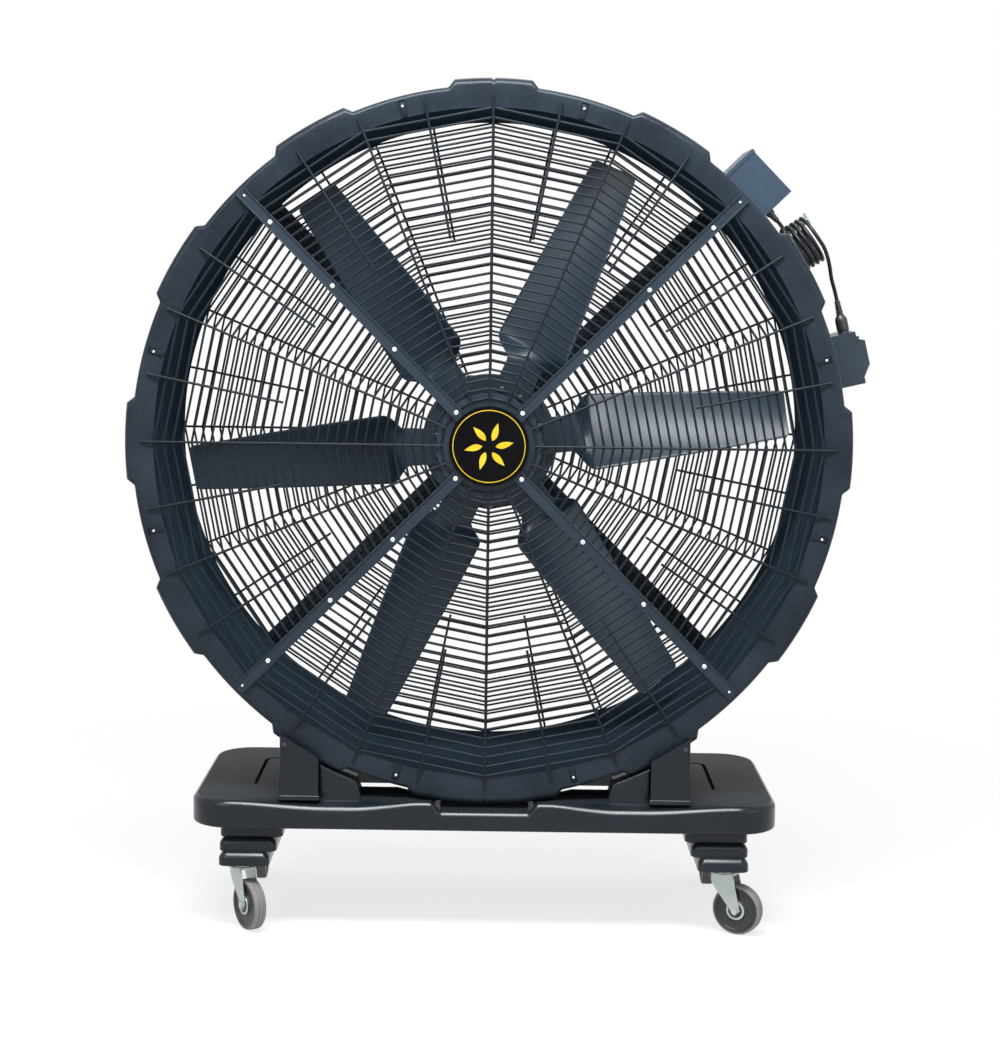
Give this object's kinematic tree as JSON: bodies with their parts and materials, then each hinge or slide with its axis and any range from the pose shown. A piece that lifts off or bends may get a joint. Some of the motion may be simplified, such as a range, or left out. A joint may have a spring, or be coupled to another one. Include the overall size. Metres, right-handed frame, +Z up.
{
  "type": "mobile drum fan",
  "caption": "Large mobile drum fan: moulded ring with quadrant wire grilles, blades on a direct-drive motor, saddle base on swivel casters, drive box and coiled cable",
  "frame": {"origin": "on the floor, straight under the drum's axis at half its depth", "axes": "+Z up, the front of the fan faces -Y, +X to the right as seen from the front"},
  "size_m": [1.8497, 0.6173, 2.1],
  "materials": {
    "drum": "moulded, satin",
    "base": "moulded, satin",
    "wire": "powder coat",
    "arm": "powder coat",
    "blade": "smooth, semi-gloss",
    "badge": "gloss black",
    "bolt": "zinc plated",
    "motor": "paint",
    "hub": "paint",
    "box": "powder coat",
    "switch": "moulded",
    "black_plastic": "moulded",
    "cable": "satin jacket",
    "steel": "zinc plated",
    "rubber": "moulded rubber"
  },
  "bodies": {
    "base": {"base_deck": "base", "upright_left": "base", "upright_right": "base", "saddle_bolts": "bolt", "corner_feet": "base", "caster_plates": "steel", "drum_half_left": "drum", "drum_half_right": "drum", "front_grille_top": "wire", "front_grille_bottom": "wire", "front_grille_left": "wire", "front_grille_right": "wire", "rear_grille_top": "wire", "rear_grille_bottom": "wire", "rear_grille_left": "wire", "rear_grille_right": "wire", "front_arms": "arm", "rear_arms": "arm", "front_centre_plate": "arm", "badge_disc": "badge", "arm_screws": "bolt", "rim_screws": "bolt", "motor_plate": "arm", "motor_carrier": "arm", "motor_housing": "motor", "drive_box": "box", "drive_box_lid": "box", "cord_gland": "black_plastic", "switch_box": "switch", "mains_inlet": "black_plastic", "cord_hook": "steel", "cord_feed": "cable", "cord_coil": "cable", "cord_drop": "cable", "cord_connector": "black_plastic"},
    "rotor": {"rotor_hub": "hub", "fan_blades": "blade", "blade_clamps": "hub", "blade_bolts": "bolt"},
    "flap": {"switch_flap": "switch"},
    "toggle": {"breaker_toggle": "black_plastic"},
    "knob": {"speed_knob": "black_plastic"},
    "swivel_front_left": {"caster_fork_front_left": "steel"},
    "roller_front_left": {"wheel_front_left": "rubber"},
    "swivel_front_right": {"caster_fork_front_right": "steel"},
    "roller_front_right": {"wheel_front_right": "rubber"},
    "swivel_rear_left": {"caster_fork_rear_left": "steel"},
    "roller_rear_left": {"wheel_rear_left": "rubber"},
    "pedal_rear_left": {"brake_pedal_rear_left": "steel"},
    "swivel_rear_right": {"caster_fork_rear_right": "steel"},
    "roller_rear_right": {"wheel_rear_right": "rubber"},
    "pedal_rear_right": {"brake_pedal_rear_right": "steel"}
  },
  "joints": [
    {"name": "fan_spin", "type": "hinge", "parent": "base", "child": "rotor", "pos_m": [0, -0.078, 1.21], "axis": [0, -1, 0], "continuous": true},
    {"name": "swivel_front_left", "type": "hinge", "parent": "base", "child": "swivel_front_left", "pos_m": [-0.6, -0.225, 0.16], "axis": [0, 0, 1], "continuous": true},
    {"name": "wheel_spin_front_left", "type": "hinge", "parent": "swivel_front_left", "child": "roller_front_left", "pos_m": [-0.57875, -0.2565, 0.0625], "axis": [0.829, 0.5592, 0], "continuous": true},
    {"name": "swivel_front_right", "type": "hinge", "parent": "base", "child": "swivel_front_right", "pos_m": [0.6, -0.225, 0.16], "axis": [0, 0, 1], "continuous": true},
    {"name": "wheel_spin_front_right", "type": "hinge", "parent": "swivel_front_right", "child": "roller_front_right", "pos_m": [0.63355, -0.24284, 0.0625], "axis": [0.4695, 0.8829, 0], "continuous": true},
    {"name": "swivel_rear_left", "type": "hinge", "parent": "base", "child": "swivel_rear_left", "pos_m": [-0.6, 0.225, 0.16], "axis": [0, 0, 1], "continuous": true},
    {"name": "wheel_spin_rear_left", "type": "hinge", "parent": "swivel_rear_left", "child": "roller_rear_left", "pos_m": [-0.6, 0.187, 0.0625], "axis": [1, 0, 0], "continuous": true},
    {"name": "brake_pedal_rear_left", "type": "hinge", "parent": "swivel_rear_left", "child": "pedal_rear_left", "pos_m": [-0.6, 0.20025, 0.137], "axis": [1, 0, 0], "range_deg": [0, 6]},
    {"name": "swivel_rear_right", "type": "hinge", "parent": "base", "child": "swivel_rear_right", "pos_m": [0.6, 0.225, 0.16], "axis": [0, 0, 1], "continuous": true},
    {"name": "wheel_spin_rear_right", "type": "hinge", "parent": "swivel_rear_right", "child": "roller_rear_right", "pos_m": [0.6, 0.187, 0.0625], "axis": [1, 0, 0], "continuous": true},
    {"name": "brake_pedal_rear_right", "type": "hinge", "parent": "swivel_rear_right", "child": "pedal_rear_right", "pos_m": [0.6, 0.20025, 0.137], "axis": [1, 0, 0], "range_deg": [0, 6]},
    {"name": "flap_hinge", "type": "hinge", "parent": "base", "child": "flap", "pos_m": [0.92604, 0.015, 1.4808], "axis": [0, -1, 0], "range_deg": [0, 95]},
    {"name": "breaker_flip", "type": "hinge", "parent": "base", "child": "toggle", "pos_m": [0.92355, 0.047, 1.42832], "axis": [0, -1, 0], "range_deg": [-36, 0]},
    {"name": "knob_turn", "type": "hinge", "parent": "base", "child": "knob", "pos_m": [0.93255, -0.013, 1.41195], "axis": [0.9732, 0, 0.23], "range_deg": [0, 270]}
  ]
}
